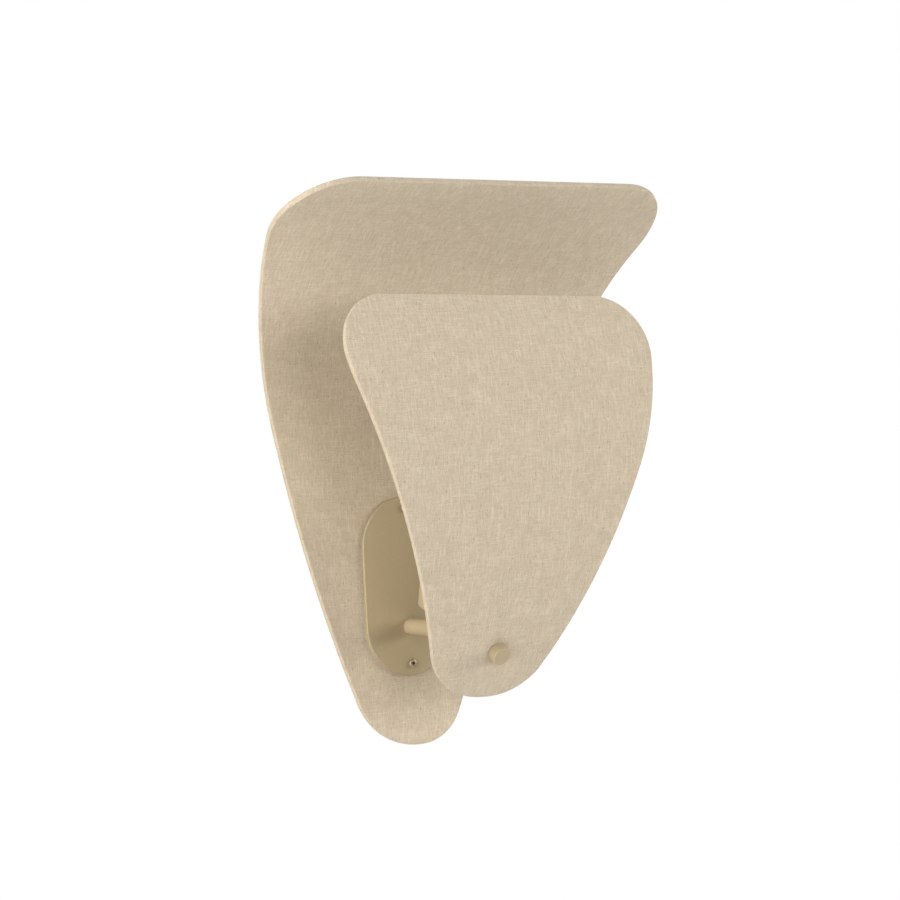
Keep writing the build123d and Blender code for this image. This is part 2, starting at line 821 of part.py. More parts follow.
# Earth screw with its ring tag
with BuildPart() as earth_tag:
    with BuildSketch(block_plane):
        with Locations((earth_screw_x, earth_screw_height)):
            Circle(tag_radius)
        with Locations((earth_screw_x, earth_screw_height + tag_radius + tag_barrel / 2)):
            Rectangle(2 * wire_radius, tag_barrel + tag_radius)
        with Locations((earth_screw_x, earth_screw_height)):
            Circle(earth_screw_radius + thread_gap, mode=Mode.SUBTRACT)
    extrude(amount=tag_thickness)
earth_tag.part.label = "earth_tag"

with BuildPart() as earth_screw:
    with BuildSketch(block_plane.offset(tag_thickness)):
        with Locations((earth_screw_x, earth_screw_height)):
            Circle(earth_head_radius)
    extrude(amount=earth_head_height)
    with BuildSketch(block_plane.offset(tag_thickness)):
        with Locations((earth_screw_x, earth_screw_height)):
            Circle(earth_screw_radius)
    extrude(amount=-(tag_thickness + bracket_thickness))
earth_screw.part.label = "earth_screw"

# Wires: live and neutral run from the block through the arm to the lampholder
block_bottom = block_centre - block_height / 2
holder_entry = holder_plane.from_local_coords((0, 0, base_end - thread_gap))


def arm_wire(start_x, side):
    """Route of a wire through the nipple, the arm and the saddle."""
    across = side * wire_spread
    return [
        (start_x, -wire_out, block_bottom),
        (across, -wire_out, arm_height),
        (across, -holder_out, arm_height),
        (across, holder_entry.Y, holder_entry.Z),
    ]


live_route = arm_wire(-block_pitch, -1)
neutral_route = arm_wire(0, 1)
earth_end = earth_screw_height + tag_radius + tag_barrel
tag_out = bracket_thickness + tag_thickness + wire_radius
earth_route = [
    (block_pitch, -wire_out, block_bottom),
    (block_pitch, -wire_out, earth_end + 3 * wire_bend),
    (earth_screw_x, -tag_out, earth_end + wire_bend),
    (earth_screw_x, -tag_out, earth_end - tag_barrel / 2),
]

with BuildPart() as live_wire:
    with BuildLine() as live_path:
        FilletPolyline(*live_route, radius=wire_bend)
    with BuildSketch(Plane(live_path.line @ 0, z_dir=live_path.line % 0)):
        Circle(wire_radius)
    sweep(path=live_path.line)
live_wire.part.label = "live_wire"

with BuildPart() as neutral_wire:
    with BuildLine() as neutral_path:
        FilletPolyline(*neutral_route, radius=wire_bend)
    with BuildSketch(Plane(neutral_path.line @ 0, z_dir=neutral_path.line % 0)):
        Circle(wire_radius)
    sweep(path=neutral_path.line)
neutral_wire.part.label = "neutral_wire"

with BuildPart() as earth_wire:
    with BuildLine() as earth_path:
        FilletPolyline(*earth_route, radius=wire_bend)
    with BuildSketch(Plane(earth_path.line @ 0, z_dir=earth_path.line % 0)):
        Circle(wire_radius)
    sweep(path=earth_path.line)
earth_wire.part.label = "earth_wire"

built = [
    wall_bracket,
    back_box,
    rear_panel_core,
    rear_panel_cloth,
    rear_panel_lining,
    panel_ferrules,
    wall_plate,
    plate_screws,
    arm_tube,
    arm_bush,
    arm_nipple,
    arm_washer,
    arm_nut,
    arm_flange,
    panel_stud,
    front_panel_core,
    front_panel_cloth,
    front_panel_lining,
    panel_sleeve,
    knob_washer,
    knob,
    holder_saddle,
    lampholder_cup,
    lampholder_body,
    holder_nipple,
    lampholder_contact,
    lampholder_shell,
    bulb_contact,
    bulb_cap,
    bulb_glass,
    terminal_block,
    terminal_screws,
    earth_tag,
    earth_screw,
    live_wire,
    neutral_wire,
    earth_wire,
]

os.makedirs("parts", exist_ok=True)
for piece in built:
    export_step(piece.part, f"parts/{piece.part.label}.step")
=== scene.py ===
import json
from math import atan2, ceil, cos, pi, radians, sin, tan

import bpy
from mathutils import Matrix, Vector
from mathutils.geometry import delaunay_2d_cdt


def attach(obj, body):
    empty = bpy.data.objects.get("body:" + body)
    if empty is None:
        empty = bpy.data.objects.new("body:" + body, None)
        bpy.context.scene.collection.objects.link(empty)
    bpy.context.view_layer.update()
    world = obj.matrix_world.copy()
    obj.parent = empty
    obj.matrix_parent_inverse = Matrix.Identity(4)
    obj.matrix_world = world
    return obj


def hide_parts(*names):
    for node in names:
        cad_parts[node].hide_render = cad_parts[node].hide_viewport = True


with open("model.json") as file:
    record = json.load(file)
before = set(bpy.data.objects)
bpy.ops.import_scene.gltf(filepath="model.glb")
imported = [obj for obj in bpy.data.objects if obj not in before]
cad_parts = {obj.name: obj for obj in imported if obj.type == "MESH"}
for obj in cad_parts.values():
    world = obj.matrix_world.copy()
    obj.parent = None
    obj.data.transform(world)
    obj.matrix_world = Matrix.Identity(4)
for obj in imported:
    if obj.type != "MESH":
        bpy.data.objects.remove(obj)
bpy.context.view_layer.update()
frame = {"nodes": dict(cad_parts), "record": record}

nodes = frame["nodes"]


# Shader maths: a socket that adds its own Math nodes

class Wire:  # one output of a node
    def __init__(self, finish, socket):
        self.finish = finish
        self.socket = socket

    def also(self, output):  # another output of the same node
        return Wire(self.finish, self.socket.node.outputs[output])

    def sum(self, operation, *others):
        return self.finish.node("ShaderNodeMath", {"operation": operation}, dict(enumerate((self,) + others)))

    def turned(self, operation, other):
        return self.finish.node("ShaderNodeMath", {"operation": operation}, {0: other, 1: self})

    def __add__(self, other): return self.sum("ADD", other)
    def __radd__(self, other): return self.turned("ADD", other)
    def __sub__(self, other): return self.sum("SUBTRACT", other)
    def __rsub__(self, other): return self.turned("SUBTRACT", other)
    def __mul__(self, other): return self.sum("MULTIPLY", other)
    def __rmul__(self, other): return self.turned("MULTIPLY", other)
    def __truediv__(self, other): return self.sum("DIVIDE", other)
    def __pow__(self, other): return self.sum("POWER", other)
    def __gt__(self, other): return self.sum("GREATER_THAN", other)
    def __mod__(self, other): return self.sum("FLOORED_MODULO", other)


class Finish:  # one material, with the nodes that it is made of
    def __init__(self, name, roughness=0.5, metallic=0.0):
        self.material = bpy.data.materials.new(name)
        self.material.use_nodes = True
        self.tree = self.material.node_tree
        self.shader = self.tree.nodes["Principled BSDF"]
        self.set(Roughness=roughness, Metallic=metallic)

    def set(self, **values):  # underscores stand for the spaces in a socket's name
        for name, value in values.items():
            self.join(self.shader.inputs[name.replace("_", " ")], value)
        return self

    def join(self, target, value):
        if isinstance(value, Wire):
            self.tree.links.new(value.socket, target)
        else:
            target.default_value = value

    def node(self, kind, settings=None, inputs=None, output=0):
        made = self.tree.nodes.new(kind)
        for name, value in (settings or {}).items():
            if name == "stops":
                while len(made.color_ramp.elements) < len(value):
                    made.color_ramp.elements.new(0.5)
                for stop, (place, colour) in zip(made.color_ramp.elements, value):
                    stop.position = place
                    stop.color = colour
            else:
                setattr(made, name, value)
        for name, value in (inputs or {}).items():
            self.join(made.inputs[name], value)
        return Wire(self, made.outputs[output])

    def place(self, size=(1, 1, 1), turn=(0, 0, 0)):  # object coordinates, stretched or turned
        here = self.node("ShaderNodeTexCoord", output="Object")
        return self.node("ShaderNodeMapping", {}, {"Vector": here, "Rotation": turn, "Scale": size})

    def noise(self, at, scale, detail=2.0, roughness=0.5, kind="3D"):
        return self.node("ShaderNodeTexNoise", {"noise_dimensions": kind},
                         {"Vector": at, "Scale": scale, "Detail": detail, "Roughness": roughness})

    def blend(self, factor, first, second, way="MIX"):
        return self.node("ShaderNodeMix", {"data_type": "RGBA", "blend_type": way},
                         {0: factor, 6: first, 7: second}, output=2)

    def steps(self, value, low, high):  # 0 below low, 1 above high, smooth between
        return self.node("ShaderNodeMapRange", {"interpolation_type": "SMOOTHSTEP"},
                         {"Value": value, "From Min": low, "From Max": high})

    def bump(self, height, distance, strength=1.0):
        made = self.node("ShaderNodeBump", {}, {"Strength": strength, "Distance": distance, "Height": height})
        return self.set(Normal=made)


def tint(red, green, blue):
    return (red, green, blue, 1.0)


# Cloth: two threads that cross, each with thick and thin places, and a few brown flecks

linenFacts = {"warp": 0.00082, "weft": 0.00090, "wander": 0.0011,
              "pale": tint(0.648, 0.566, 0.460), "deep": tint(0.477, 0.400, 0.304),
              "fleck": tint(0.250, 0.165, 0.090), "fleckShare": 0.55, "gapShade": 0.30,
              "relief": 0.00016, "sheen": 0.12, "warpTone": 1.35, "weftTone": 0.70,
              "patch": 0.42, "slub": 0.60, "bright": tint(0.740, 0.660, 0.545),
              "rose": tint(1.00, 0.975, 0.985), "sage": tint(0.970, 0.995, 0.955)}
liningFacts = {"warp": 0.00055, "weft": 0.00060, "wander": 0.0005,
               "pale": tint(0.705, 0.625, 0.505), "deep": tint(0.550, 0.470, 0.355),
               "fleck": tint(0.420, 0.340, 0.240), "fleckShare": 0.15, "gapShade": 0.25,
               "relief": 0.00012, "sheen": 0.05, "warpTone": 1.3, "weftTone": 1.2,
               "patch": 0.25, "slub": 0.40, "bright": tint(0.740, 0.670, 0.560),
               "rose": tint(1.00, 0.985, 0.99), "sage": tint(0.985, 0.995, 0.975)}
weaveFacts = {"driftSize": 28.0, "swaySize": 31.0, "swayStart": (3.1, 1.7, 0),  # both cloths
              "warpRun": 0.085, "weftRun": 0.050, "weftStart": 41.0, "threadStep": 7.31,
              "longWarpRun": 0.030, "longWeftRun": 0.026, "longWeftStart": 70.0, "longStep": 3.17,
              "weftLongShare": 0.7, "patchSize": 62.0, "hueSize": 150.0,
              "knot": (0.62, 0.17), "burr": (0.18, 0.70), "burrStart": 90.0, "burrShare": 0.96}


def clothFinish(name, facts):
    cloth = Finish(name, roughness=0.90)
    spot = cloth.node("ShaderNodeUVMap", {"uv_map": "weave"})
    split = cloth.node("ShaderNodeSeparateXYZ", {}, {0: spot}, output="X")
    elsewhere = cloth.node("ShaderNodeVectorMath", {"operation": "ADD"},
                           {0: spot, 1: weaveFacts["swayStart"]})
    drift = cloth.noise(spot, weaveFacts["driftSize"], kind="2D")
    sway = cloth.noise(elsewhere, weaveFacts["swaySize"], kind="2D")
    across = (split + (drift - 0.5) * facts["wander"]) / facts["warp"]
    along = (split.also("Y") + (sway - 0.5) * facts["wander"]) / facts["weft"]
    warpCount = across.sum("FLOOR")
    weftCount = along.sum("FLOOR")
    warpRound = ((across - warpCount - 0.5) * pi).sum("COSINE")
    weftRound = ((along - weftCount - 0.5) * pi).sum("COSINE")
    over = (warpCount + weftCount) % 2.0 * 2.0 - 1.0
    warpTop = warpRound * (over * weftRound * 0.5 + 0.5)
    weftTop = weftRound * (0.5 - over * warpRound * 0.5)
    top = warpTop.sum("MAXIMUM", weftTop)
    warpShows = warpTop > weftTop

    def flat(first, second, detail=2.0, roughness=0.5):  # noise on two numbers
        at = cloth.node("ShaderNodeCombineXYZ", {}, {0: first, 1: second})
        return cloth.noise(at, 1.0, detail=detail, roughness=roughness, kind="2D")

    def yarn(count, run, start):  # tone along one thread, other on the next thread
        return flat(count * weaveFacts["threadStep"] + start, run, detail=3.0, roughness=0.62)

    warpTone = (yarn(warpCount, along * weaveFacts["warpRun"], 0.0) - 0.5) * facts["warpTone"] + 0.5
    weftTone = yarn(weftCount, across * weaveFacts["weftRun"], weaveFacts["weftStart"]) - 0.5
    weftTone = weftTone * facts["weftTone"] + 0.5
    tone = weftTone + (warpTone - weftTone) * warpShows
    colour = cloth.blend(cloth.steps(tone, 0.28, 0.72), facts["deep"], facts["pale"])
    patch = cloth.noise(spot, weaveFacts["patchSize"], detail=4.0, roughness=0.60, kind="2D")
    colour = cloth.blend(cloth.steps(patch, 0.30, 0.70) * facts["patch"], colour, facts["deep"])
    hue = cloth.noise(spot, weaveFacts["hueSize"], detail=3.0, roughness=0.6, kind="2D")
    mottle = cloth.blend(cloth.steps(hue, 0.35, 0.65), facts["rose"], facts["sage"])
    colour = cloth.blend(1.0, colour, mottle, "MULTIPLY")
    # a few long threads that are paler than the others
    longWarp = flat(warpCount * weaveFacts["longStep"], along * weaveFacts["longWarpRun"])
    longWeft = flat(weftCount * weaveFacts["longStep"] + weaveFacts["longWeftStart"],
                    across * weaveFacts["longWeftRun"])
    weftShare = weaveFacts["weftLongShare"] - warpShows * weaveFacts["weftLongShare"]
    longest = cloth.steps(longWarp, 0.62, 0.72) * warpShows + cloth.steps(longWeft, 0.64, 0.74) * weftShare
    colour = cloth.blend(longest * facts["slub"], colour, facts["bright"])
    # brown flecks: knots drawn out along the warp, burrs along the weft
    knotAcross, knotAlong = weaveFacts["knot"]
    burrAcross, burrAlong = weaveFacts["burr"]
    knot = flat(across * knotAcross, along * knotAlong, detail=1.0)
    burr = flat(across * burrAcross, along * burrAlong + weaveFacts["burrStart"], detail=1.0)
    husk = knot.sum("MAXIMUM", burr * weaveFacts["burrShare"])
    fleck = cloth.steps(husk, 0.72, 0.79) * facts["fleckShare"]
    colour = cloth.blend(fleck, colour, facts["fleck"])
    # painted shade between the threads: the lower the weave, the darker, towards the deep tone
    colour = cloth.blend((1.0 - top) * facts["gapShade"], colour, facts["deep"], "MULTIPLY")
    cloth.set(Base_Color=colour, Sheen_Weight=facts["sheen"], Sheen_Roughness=0.45)
    slub = cloth.steps(tone, 0.55, 0.80) * 0.5
    cloth.bump(top * (slub + 1.0), facts["relief"])
    return cloth.material


# Metal, paint, glass, wood and moulded finishes for the pieces that stay as the CAD has them

def paintFinish(name, colour, shade, peel):
    paint = Finish(name, roughness=0.42)
    spot = paint.place()
    cloud = paint.noise(spot, 9.0, detail=3.0)
    dust = paint.steps(paint.noise(spot, 420.0, detail=1.0), 0.62, 0.80) * 0.10
    body = paint.blend(paint.steps(cloud, 0.3, 0.7) * 0.35, colour, shade)
    paint.set(Base_Color=paint.blend(dust, body, tint(0.78, 0.70, 0.56)))
    paint.set(Roughness=0.37 + paint.noise(spot, 60.0) * 0.14)
    return paint.bump(paint.noise(spot, 950.0, detail=2.0), peel).material


def platedFinish(name, colour, stain, roughness, grain=(40, 40, 700), metal=1.0):
    plated = Finish(name, roughness=roughness, metallic=metal)
    spot = plated.place()
    bloom = plated.steps(plated.noise(spot, 85.0, detail=4.0, roughness=0.6), 0.35, 0.70)
    plated.set(Base_Color=plated.blend(bloom * 0.55, colour, stain))
    lines = plated.noise(plated.place(grain), 3.0, detail=3.0)
    plated.set(Roughness=lines * 0.22 + (roughness - 0.11))
    return plated.bump(lines, 0.00003).material


# painted shade for the screws' cross recess: the ring round each axis, the depth, the dark colour and the
# metal taken away there
recessShadeFacts = {"spacing": 0.0778, "inner": 0.0025, "outer": 0.0028, "deep": -0.03138, "shallow": -0.03120,
               "colour": tint(0.035, 0.024, 0.014), "metal": 0.85}


def screwFinish(name, colour, dirt):  # both heads, with painted shade down in the cross recess
    brass = Finish(name)
    spot = brass.place()
    split = brass.node("ShaderNodeSeparateXYZ", {}, {0: spot}, output="X")
    depth, rise = split.also("Y"), split.also("Z")
    off = rise.sum("ABSOLUTE") - recessShadeFacts["spacing"]
    near = 1.0 - brass.steps((split * split + off * off) ** 0.5, recessShadeFacts["inner"], recessShadeFacts["outer"])
    down = brass.steps(depth, recessShadeFacts["deep"], recessShadeFacts["shallow"]) * near
    bloom = brass.steps(brass.noise(spot, 900.0, detail=3.0), 0.35, 0.70)
    plain = brass.blend(bloom * 0.6, colour, dirt)
    # painted shade: the floor of the cross goes dark and loses its metal
    brass.set(Base_Color=brass.blend(down, plain, recessShadeFacts["colour"]))
    brass.set(Metallic=recessShadeFacts["metal"] - down * recessShadeFacts["metal"])
    lines = brass.noise(brass.place((40, 40, 700)), 3.0, detail=3.0)
    brass.set(Roughness=lines * 0.2 + 0.38)
    return brass.bump(lines, 0.00003).material


def woodFinish(name, pale, dark):
    wood = Finish(name, roughness=0.62)
    grain = wood.noise(wood.place((420, 420, 14)), 1.0, detail=5.0, roughness=0.6)
    figure = wood.noise(wood.place((26, 26, 5)), 1.0, detail=3.0)
    body = wood.blend(wood.steps(grain, 0.35, 0.70) * 0.55, pale, dark)
    wood.set(Base_Color=wood.blend(wood.steps(figure, 0.35, 0.70) * 0.30, body, dark))
    return wood.bump(grain, 0.00006).material


def opalFinish(name):
    opal = Finish(name, roughness=0.22)
    haze = opal.noise(opal.place(), 45.0, detail=2.0)
    cloud = opal.steps(haze, 0.3, 0.7) * 0.5
    opal.set(Base_Color=opal.blend(cloud, tint(0.93, 0.92, 0.89), tint(0.88, 0.87, 0.83)))
    opal.set(Roughness=0.17 + haze * 0.10, Subsurface_Weight=0.2, Subsurface_Scale=0.004)
    return opal.bump(opal.noise(opal.place(), 160.0), 0.00002).material


def mouldedFinish(name, colour, shade, roughness, peel=0.00004):
    moulded = Finish(name, roughness=roughness)
    spot = moulded.place()
    flow = moulded.noise(spot, 70.0, detail=3.0)
    moulded.set(Base_Color=moulded.blend(moulded.steps(flow, 0.3, 0.7) * 0.6, colour, shade))
    moulded.set(Roughness=moulded.noise(spot, 240.0) * 0.16 + (roughness - 0.08))
    return moulded.bump(moulded.noise(spot, 1300.0, detail=1.0), peel).material


paintTone = {"colour": tint(0.384, 0.308, 0.192), "shade": tint(0.352, 0.280, 0.171), "peel": 0.00005}
zincTone = {"colour": tint(0.62, 0.63, 0.64), "stain": tint(0.50, 0.51, 0.50),
            "roughness": 0.44, "metal": 0.82}
finishes = {
    "linen": clothFinish("linen", linenFacts),
    "lining": clothFinish("lining", liningFacts),
    "plywood": woodFinish("plywood", tint(0.56, 0.42, 0.26), tint(0.36, 0.23, 0.12)),
    "painted_metal": paintFinish("painted_metal", **paintTone),
    "zinc_steel": platedFinish("zinc_steel", **zincTone),
    "screw_brass": screwFinish("screw_brass", tint(0.50, 0.42, 0.27), tint(0.36, 0.30, 0.20)),
    "brass": platedFinish("brass", tint(0.78, 0.58, 0.26), tint(0.60, 0.42, 0.18), 0.30),
    "cap_metal": platedFinish("cap_metal", tint(0.78, 0.78, 0.77), tint(0.66, 0.66, 0.66), 0.30),
    "opal_glass": opalFinish("opal_glass"),
    "insulator": mouldedFinish("insulator", tint(0.82, 0.79, 0.73), tint(0.76, 0.72, 0.65), 0.20, 0.00001),
    "nylon": mouldedFinish("nylon", tint(0.78, 0.76, 0.70), tint(0.72, 0.69, 0.62), 0.48),
    "wire_brown": mouldedFinish("wire_brown", tint(0.14, 0.055, 0.022), tint(0.10, 0.040, 0.016), 0.42),
    "wire_blue": mouldedFinish("wire_blue", tint(0.020, 0.090, 0.34), tint(0.015, 0.065, 0.26), 0.42),
    "wire_green": mouldedFinish("wire_green", tint(0.060, 0.27, 0.035), tint(0.34, 0.33, 0.02), 0.42),
}
for part in frame["record"]["subparts"]:
    shown = nodes[part["node"]].data
    shown.materials.clear()
    shown.materials.append(finishes[part["material_slot"]])
print("finishes done:", len(finishes))


# Shells: flat cuts of cloth, bent over the boards, in metres. A length runs up the sheet.

rearShell = {
    "node": "rear_panel", "body": "root", "piece": "rear",
    "thickness": 0.0060, "bottom": -0.1602, "middle": 0.0095, "slope": 0.0072, "flat": 0.004,
    "left": {"lean": 20.8, "upper": 12.4, "drop": 0.4293, "share": 0.81, "low": 0.0760, "high": 0.0671},
    "right": {"lean": 24.1, "upper": 19.1, "drop": 0.1943, "share": 0.70, "low": 0.0495, "high": 0.0695},
    "out": 0.026, "bendStart": 0.155, "bendRadius": 0.250, "bendAngle": 57.0, "lip": 0.0423,
    "holes": [(0.0, -0.0778, 0.0036), (0.0, 0.0778, 0.0036), (0.0, -0.0408, 0.0120)],
}
frontShell = {
    "node": "front_panel", "body": "front_shade", "piece": "front",
    "thickness": 0.0056, "bottom": -0.0563, "middle": 0.0121, "slope": 0.0093, "flat": 0.004,
    "left": {"lean": 20.0, "upper": 12.0, "drop": 0.0754, "share": 0.88, "low": 0.0900, "high": 0.0501},
    "right": {"lean": 22.5, "upper": 6.3, "drop": 0.1234, "share": 0.83, "low": 0.0517, "high": 0.0590},
    "out": 0.173, "height": -0.0587, "radius": 0.405, "tilt": 30.0, "top": 0.3545,
    "holes": [(0.0, 0.0, 0.00463)],
}
foldFacts = {"fold": 0.0012, "hem": 0.0149, "lining": 0.0152, "cloth": 0.0008, "backCloth": 0.0006,
             "grid": 0.005, "guard": 0.003, "straightStep": 0.006, "roundStep": 0.004,
             "pleat": 0.00045, "pleatStep": 0.009, "pleatFade": 0.05, "smooth": 38}


def bendRear(shell, x, length, depth):
    bent = length - shell["bendStart"]
    most = shell["bendRadius"] * radians(shell["bendAngle"])
    angle = min(max(bent, 0.0), most) / shell["bendRadius"]
    spare = bent - min(max(bent, 0.0), most)
    reach = shell["bendRadius"] + depth
    out = shell["out"] + shell["bendRadius"] - reach * cos(angle) + spare * sin(angle)
    return Vector((x, -out, shell["bendStart"] + reach * sin(angle) + spare * cos(angle)))


def bendFront(shell, x, length, depth):
    tilt = radians(shell["tilt"])
    centreOut = shell["out"] - shell["radius"] * cos(tilt)
    centreHeight = shell["height"] + shell["radius"] * sin(tilt)
    angle = length / shell["radius"] - tilt
    reach = shell["radius"] - depth
    return Vector((x, -(centreOut + reach * cos(angle)), centreHeight + reach * sin(angle)))


rearShell["bend"] = bendRear
frontShell["bend"] = bendFront
bentLength = rearShell["bendRadius"] * radians(rearShell["bendAngle"])
rearShell["top"] = rearShell["bendStart"] + bentLength + rearShell["lip"]


def cutSide(shell, name, side, top):  # corners of one side of the cut: bottom, shoulder and top
    facts = shell[name]
    lowReach = facts["low"] * tan(radians(90 - facts["lean"]) / 2)
    bottomX = shell["middle"] + side * (shell["flat"] / 2 + lowReach)
    shoulderX = bottomX + side * (top - facts["drop"] - shell["bottom"]) * tan(radians(facts["lean"]))
    topX = shoulderX + side * facts["drop"] * tan(radians(facts["upper"]))
    return [Vector((bottomX, shell["bottom"])), Vector((shoulderX, top - facts["drop"])), Vector((topX, top))]


def shoulderRound(own, facts, other):  # radius that takes its share of the length the corners leave free
    def spare(corner, radius, opposite):
        turn = pi - (own[1] - corner).angle(opposite - corner)
        return (own[1] - corner).length - radius * tan(turn / 2)
    shorter = min(spare(own[0], facts["low"], other[0]), spare(own[2], facts["high"], other[2]))
    return facts["share"] * shorter / tan((own[1] - own[0]).angle(own[2] - own[1]) / 2)


def cutLine(shell):  # points round the flat cut, clockwise: place, way out, and how sharply it turns there
    left = cutSide(shell, "left", -1, shell["top"])
    right = cutSide(shell, "right", 1, shell["top"] - shell["slope"])
    corners = left + right[::-1]
    rounds = [shell["left"]["low"], shoulderRound(left, shell["left"], right), shell["left"]["high"],
              shell["right"]["high"], shoulderRound(right, shell["right"], left), shell["right"]["low"]]
    line = []
    for i, corner in enumerate(corners):
        before = (corner - corners[i - 1]).normalized()
        after = (corners[(i + 1) % 6] - corner).normalized()
        turn = before.angle(after)
        reach = rounds[i] * tan(turn / 2)
        wayOut = Vector((-before.y, before.x))
        centre = corner - before * reach - wayOut * rounds[i]
        if line:
            start = line[-1][0]
            end = centre + wayOut * rounds[i]
            count = max(1, ceil((end - start).length / foldFacts["straightStep"]))
            line += [(start.lerp(end, k / count), wayOut, 0.0) for k in range(1, count)]
        count = max(3, ceil(rounds[i] * turn / foldFacts["roundStep"]))
        for k in range(count + 1):
            way = Matrix.Rotation(-turn * k / count, 2) @ wayOut
            line.append((centre + way * rounds[i], way, 1.0 / rounds[i]))
    start, end = line[-1][0], line[0][0]
    wayOut = line[-1][1]
    count = max(1, ceil((end - start).length / foldFacts["straightStep"]))
    line += [(start.lerp(end, k / count), wayOut, 0.0) for k in range(1, count)]
    return line


def inside(point, loop):  # counts the sides of the loop to the right of the point
    hit = False
    for a, b in zip(loop, loop[1:] + loop[:1]):
        if (a.y > point.y) != (b.y > point.y) and point.x < (b.x - a.x) * (point.y - a.y) / (b.y - a.y) + a.x:
            hit = not hit
    return hit


def ringHole(hole, count=32):  # points round one hole
    x, length, radius = hole
    return [Vector((x + radius * cos(2 * pi * k / count), length + radius * sin(2 * pi * k / count)))
            for k in range(count)]


def sheetFill(loop, guard, holes, grid):  # points and triangles that fill a loop, with its holes left open
    points = list(loop)
    edges = [(k, (k + 1) % len(loop)) for k in range(len(loop))]
    for hole in holes:
        start = len(points)
        ring = ringHole(hole)
        points += ring
        edges += [(start + k, start + (k + 1) % len(ring)) for k in range(len(ring))]
    low = Vector((min(p.x for p in guard), min(p.y for p in guard)))
    high = Vector((max(p.x for p in guard), max(p.y for p in guard)))
    for row in range(int((high.y - low.y) / grid) + 1):
        for column in range(int((high.x - low.x) / grid) + 1):
            point = low + Vector(((column + 0.5) * grid, (row + 0.5) * grid))
            clear = all((point - Vector(hole[:2])).length > hole[2] + grid * 0.45 for hole in holes)
            if clear and inside(point, guard):
                points.append(point)
    flat, _, faces, _, _, _ = delaunay_2d_cdt(points, edges, [], 1, 1e-7)
    kept = []
    for face in faces:
        middle = sum((flat[k] for k in face), Vector((0, 0))) / len(face)
        if all((middle - Vector(hole[:2])).length > hole[2] for hole in holes):
            kept.append(list(face))
    return flat, kept


def layCloth(name, shell, rings, facing, wall):
    # rings: inset, depth, run over the fold and height of the pleats; the sheet itself fills the last ring
    line = cutLine(shell)
    spots, cloths, faces = [], [], []
    for inset, depth, run, pleat in rings:
        travelled = 0.0
        for k, (place, way, turn) in enumerate(line):
            travelled += (place - line[k - 1][0]).length
            wave = abs(sin(pi * travelled / foldFacts["pleatStep"])) * pleat
            wave = wave * min(1.0, turn * foldFacts["pleatFade"])  # no pleats where the edge is straight
            flat = place - way * inset
            spots.append(shell["bend"](shell, flat.x, flat.y, depth + wave))
            cloths.append(place + way * run)
    count = len(line)
    for ring in range(len(rings) - 1):
        for k in range(count):
            nextOne = (k + 1) % count
            low, high = ring * count, (ring + 1) * count
            faces.append([low + k, low + nextOne, high + nextOne, high + k])
    inset, depth = rings[-1][0], rings[-1][1]
    loop = [place - way * inset for place, way, _ in line]
    guard = [place - way * (inset + foldFacts["guard"]) for place, way, _ in line]
    flat, fill = sheetFill(loop, guard, shell["holes"], foldFacts["grid"])
    start = len(spots)
    match = {}
    for k, point in enumerate(flat):
        if k < count and (point - loop[k]).length < 1e-6:
            match[k] = (len(rings) - 1) * count + k
        else:
            match[k] = start
            spots.append(shell["bend"](shell, point.x, point.y, depth))
            cloths.append(point)
            start += 1
    faces += [[match[k] for k in face] for face in fill]
    mesh = bpy.data.meshes.new(name)
    mesh.from_pydata([tuple(s) for s in spots], [], faces)
    mesh.update()
    weave = mesh.uv_layers.new(name="weave")
    for corner in mesh.loops:
        weave.data[corner.index].uv = cloths[corner.vertex_index]
    piece = bpy.data.objects.new(name, mesh)
    bpy.context.scene.collection.objects.link(piece)
    chosen(piece)
    bpy.ops.object.mode_set(mode="EDIT")
    bpy.ops.mesh.select_all(action="SELECT")
    bpy.ops.mesh.normals_make_consistent(inside=False)
    bpy.ops.object.mode_set(mode="OBJECT")
    middle = mesh.polygons[len(mesh.polygons) - 1]  # one face of the sheet itself
    if middle.normal.y * facing < 0:
        bpy.ops.object.mode_set(mode="EDIT")
        bpy.ops.mesh.select_all(action="SELECT")
        bpy.ops.mesh.flip_normals()
        bpy.ops.object.mode_set(mode="OBJECT")
    addModifier(piece, "SOLIDIFY", thickness=wall, offset=-1.0, use_even_offset=True)
    bpy.ops.object.shade_smooth_by_angle(angle=radians(foldFacts["smooth"]))
    return piece


def chosen(piece):  # the only selected and active object, in object mode
    if bpy.context.object and bpy.context.object.mode != "OBJECT":
        bpy.ops.object.mode_set(mode="OBJECT")
    bpy.ops.object.select_all(action="DESELECT")
    piece.select_set(True)
    bpy.context.view_layer.objects.active = piece
    return piece


def addModifier(piece, kind, **settings):
    chosen(piece)
    bpy.ops.object.modifier_add(type=kind)
    modifier = piece.modifiers[-1]
    for name, value in settings.items():
        setattr(modifier, name, value)
    bpy.ops.object.modifier_apply(modifier=modifier.name)


def cutSize(shell, extra):  # width, length and area of the cloth as it was cut
    line = [place + way * extra for place, way, _ in cutLine(shell)]
    width = max(p.x for p in line) - min(p.x for p in line)
    length = max(p.y for p in line) - min(p.y for p in line)
    area = abs(sum(a.x * b.y - b.x * a.y for a, b in zip(line, line[1:] + line[:1]))) / 2
    return (width, length), area


